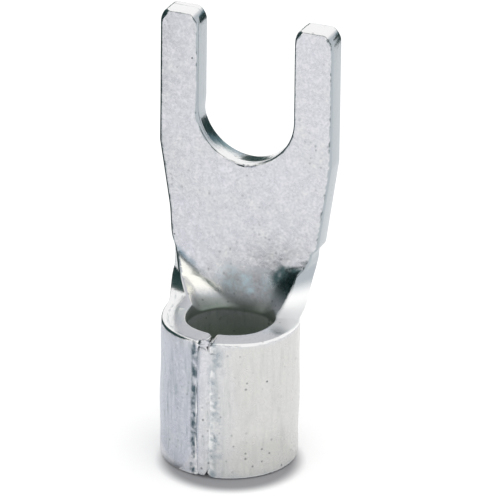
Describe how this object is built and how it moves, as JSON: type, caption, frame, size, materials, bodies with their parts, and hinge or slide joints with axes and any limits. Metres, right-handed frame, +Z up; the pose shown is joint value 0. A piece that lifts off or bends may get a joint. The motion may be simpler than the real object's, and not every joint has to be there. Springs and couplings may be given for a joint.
{
  "type": "fork terminal",
  "caption": "Bare fork terminal: flat two-prong fork, scooped neck and a rolled, brazed wire barrel, tin-plated copper, joins a crimped wire to a screw.",
  "frame": {"origin": "middle of the wire entry, on the barrel's axis and on the face it stands on", "axes": "+Z up the barrel to the fork tips, +X across the fork, +Y from the seam to the back of the tongue"},
  "size_m": [0.0074, 0.0059, 0.018],
  "materials": {
    "tinned_copper": "matte tin plating over copper sheet"
  },
  "bodies": {
    "root": {"fork_terminal": "tinned_copper"}
  },
  "joints": []
}
